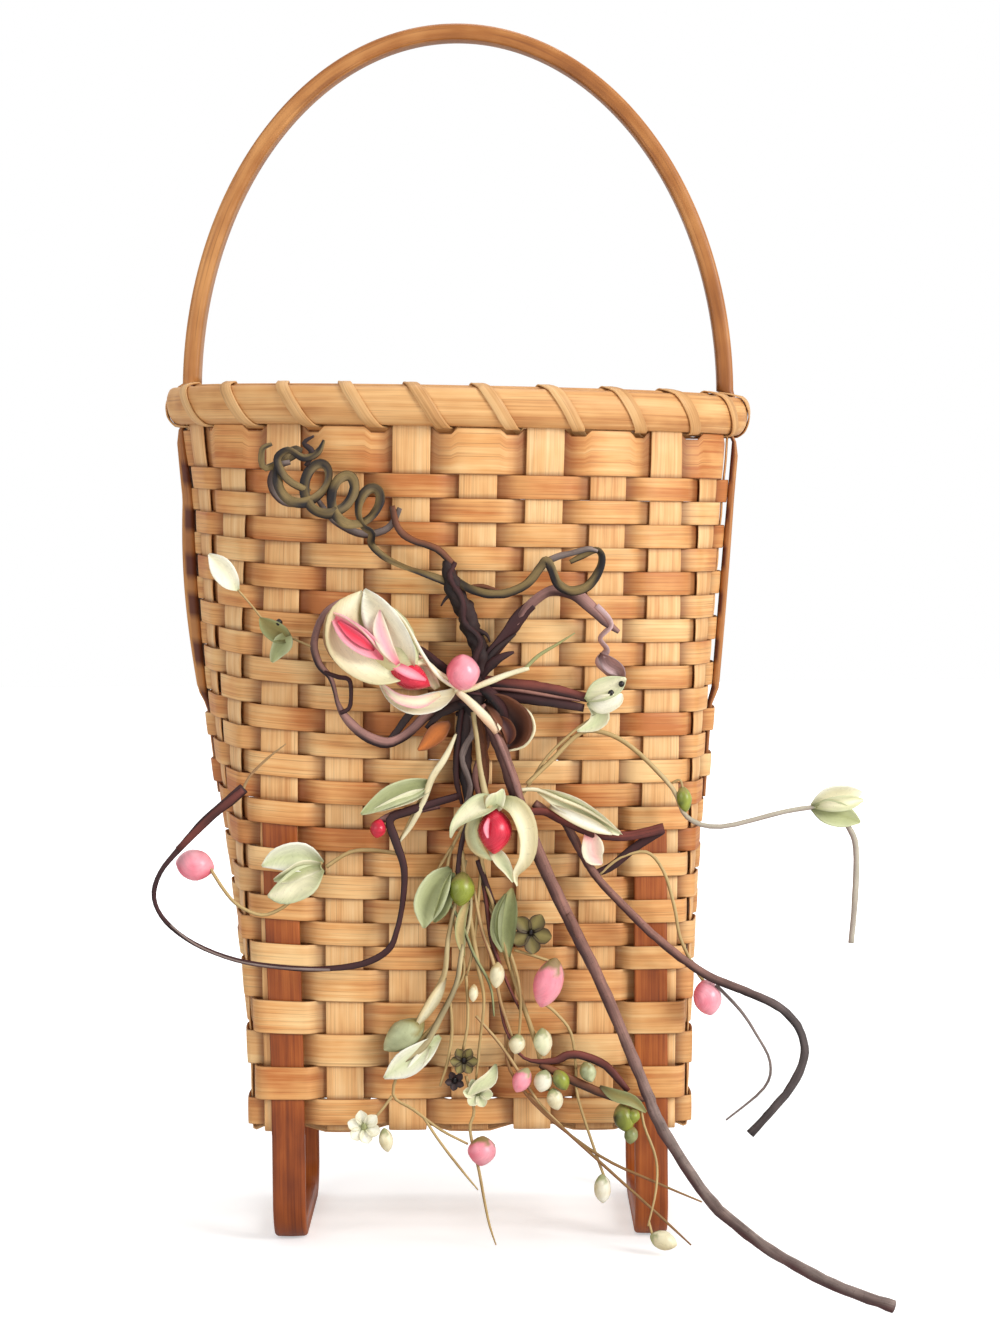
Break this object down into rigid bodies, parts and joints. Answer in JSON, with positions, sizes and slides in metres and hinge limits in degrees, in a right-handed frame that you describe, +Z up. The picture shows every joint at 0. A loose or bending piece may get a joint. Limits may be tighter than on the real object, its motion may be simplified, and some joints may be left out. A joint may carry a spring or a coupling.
{
  "type": "footed basket",
  "caption": "Tall woven splint basket with flared oval rim, bow handle, bentwood foot runners and a spray of vines and buds tied on the front.",
  "frame": {"origin": "on the ground under the middle of the box round basket and spray, with the undersides of the foot runners at z = 0", "axes": "+Z up, -Y towards the front that carries the spray, +X to the right of a viewer who faces the front"},
  "size_m": [0.2966, 0.277, 0.5204],
  "materials": {
    "stake_splint": "matt",
    "weaver_splint": "matt",
    "rim_wood": "matt",
    "lashing_cane": "matt",
    "handle_wood": "satin",
    "foot_wood": "satin",
    "vine": "matt",
    "tendril": "matt",
    "bud": "satin"
  },
  "bodies": {
    "root": {"stake_long_1": "stake_splint", "stake_long_2": "stake_splint", "stake_long_3": "stake_splint", "stake_long_4": "stake_splint", "stake_long_5": "stake_splint", "stake_long_6": "stake_splint", "stake_long_7": "stake_splint", "stake_cross_1": "stake_splint", "stake_cross_2": "stake_splint", "stake_cross_3": "stake_splint", "stake_cross_4": "stake_splint", "weaver_01": "weaver_splint", "weaver_02": "weaver_splint", "weaver_03": "weaver_splint", "weaver_04": "weaver_splint", "weaver_05": "weaver_splint", "weaver_06": "weaver_splint", "weaver_07": "weaver_splint", "weaver_08": "weaver_splint", "weaver_09": "weaver_splint", "weaver_10": "weaver_splint", "weaver_11": "weaver_splint", "weaver_12": "weaver_splint", "weaver_13": "weaver_splint", "weaver_14": "weaver_splint", "weaver_15": "weaver_splint", "weaver_16": "weaver_splint", "weaver_17": "weaver_splint", "weaver_18": "weaver_splint", "weaver_19": "weaver_splint", "weaver_20": "weaver_splint", "weaver_21": "weaver_splint", "weaver_22": "weaver_splint", "weaver_23": "weaver_splint", "weaver_24": "weaver_splint", "weaver_25": "weaver_splint", "weaver_26": "weaver_splint", "weaver_27": "weaver_splint", "outer_rim": "rim_wood", "inner_rim": "rim_wood", "rim_filler": "rim_wood", "rim_lashing": "lashing_cane", "handle": "handle_wood", "left_foot": "foot_wood", "right_foot": "foot_wood", "sprig_tie": "vine", "sprig_stem_upper": "vine", "sprig_stem_lower": "vine", "tendril_left": "tendril", "tendril_right": "tendril", "bow_right": "vine", "bow_left": "vine", "curl_left": "vine", "long_twig": "vine", "side_twig": "vine", "upper_flower": "bud", "open_pod": "bud", "berry_stems": "bud", "right_flower_stem": "bud", "left_bud_stem": "bud"}
  },
  "joints": []
}
